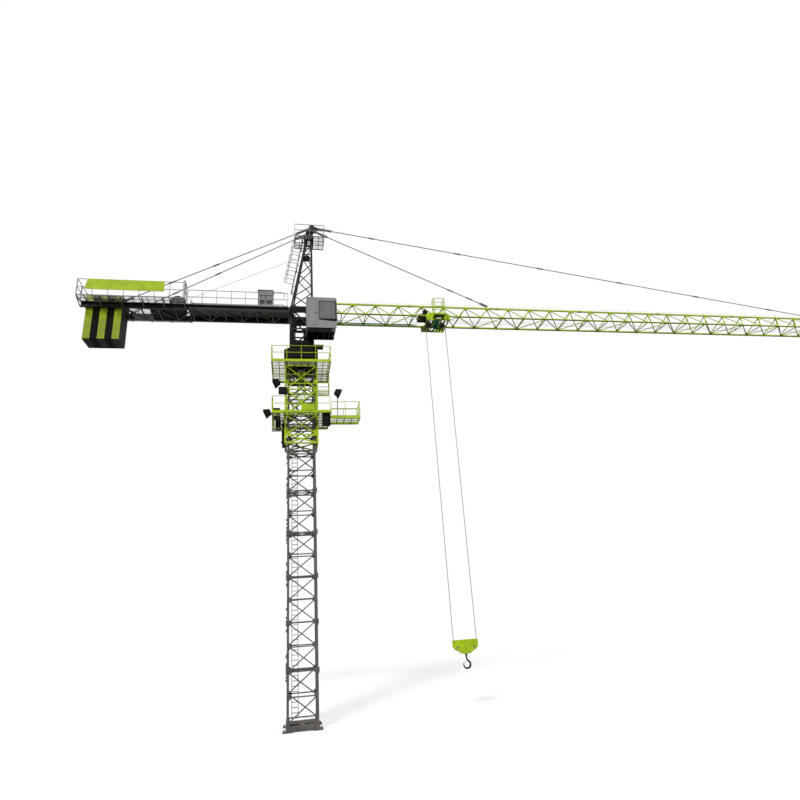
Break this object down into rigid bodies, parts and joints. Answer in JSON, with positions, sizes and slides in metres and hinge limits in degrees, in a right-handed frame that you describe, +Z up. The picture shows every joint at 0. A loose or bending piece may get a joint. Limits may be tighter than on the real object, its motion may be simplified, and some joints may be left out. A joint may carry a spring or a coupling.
{
  "type": "tower crane scale model 1:2",
  "caption": "Hammerhead tower crane at 1:2: lattice mast, climbing cage, cab, pointed head, tied lattice jib with trolley and hook, counter-jib with slab weights.",
  "frame": {"origin": "on the ground under the middle of the mast, on the flat underside of the base frame", "axes": "+Z up along the mast, +X out along the jib at rest, -Y towards the cab side"},
  "size_m": [34.655, 2.21, 18.405],
  "materials": {
    "mast_paint": "satin",
    "lime_paint": "satin",
    "dark_paint": "satin",
    "black_paint": "satin",
    "charcoal_paint": "matt",
    "cab_paint": "satin",
    "rail_paint": "satin",
    "tie_steel": "satin",
    "rope_steel": "satin",
    "trolley_paint": "satin",
    "cab_window": "tinted"
  },
  "bodies": {
    "tower": {"mast_base": "mast_paint", "mast_legs": "mast_paint", "mast_side_front": "mast_paint", "mast_side_back": "mast_paint", "mast_side_left": "mast_paint", "mast_side_right": "mast_paint", "mast_diaphragms": "mast_paint", "mast_ladder": "mast_paint", "cage_posts": "lime_paint", "cage_sides": "lime_paint", "cage_deck_top": "lime_paint", "cage_rails_top": "lime_paint", "cage_deck_mid": "lime_paint", "cage_rails_mid": "lime_paint", "climbing_unit": "black_paint", "pump_unit": "black_paint", "floodlights": "black_paint", "slew_support": "black_paint"},
    "upperworks": {"turntable": "black_paint", "slew_motors": "black_paint", "slew_tower_legs": "dark_paint", "slew_tower_sides": "dark_paint", "slew_tower_beams": "dark_paint", "head_legs": "dark_paint", "head_lacing": "dark_paint", "head_cap": "dark_paint", "head_deck": "dark_paint", "head_rails": "rail_paint", "head_ladder": "rail_paint", "jib_bottom_chords": "lime_paint", "jib_top_chord": "lime_paint", "jib_side_near": "lime_paint", "jib_side_far": "lime_paint", "jib_floor": "lime_paint", "jib_inner_tie": "tie_steel", "jib_outer_tie": "tie_steel", "trolley_winch": "black_paint", "counter_beams": "dark_paint", "counter_bracing": "dark_paint", "counter_decks": "dark_paint", "counter_rails": "rail_paint", "sign_boards": "lime_paint", "counterweights_light": "lime_paint", "counterweights_dark": "charcoal_paint", "hoist_winch": "black_paint", "electric_cabinet": "cab_paint", "counter_ties": "tie_steel", "head_sheave": "black_paint", "hoist_rope": "rope_steel", "cab_body": "cab_paint", "cab_glass": "cab_window", "cab_brackets": "black_paint"},
    "trolley": {"trolley_frame": "lime_paint", "trolley_wheels": "trolley_paint", "basket_floor": "lime_paint", "basket_rails": "lime_paint", "rope_falls": "rope_steel"},
    "hook_unit": {"hook_block": "lime_paint", "hook": "black_paint"}
  },
  "joints": [
    {"name": "slew", "type": "hinge", "parent": "tower", "child": "upperworks", "pos_m": [0, 0, 12.1], "axis": [0, 0, 1], "continuous": true},
    {"name": "trolley_travel", "type": "slide", "parent": "upperworks", "child": "trolley", "axis": [1, 0, 0], "range_m": [-2.745, 20.8]},
    {"name": "hook_hoist", "type": "slide", "parent": "trolley", "child": "hook_unit", "axis": [0, 0, 1], "range_m": [0, 11.4], "deforming": ["rope_falls"]}
  ]
}
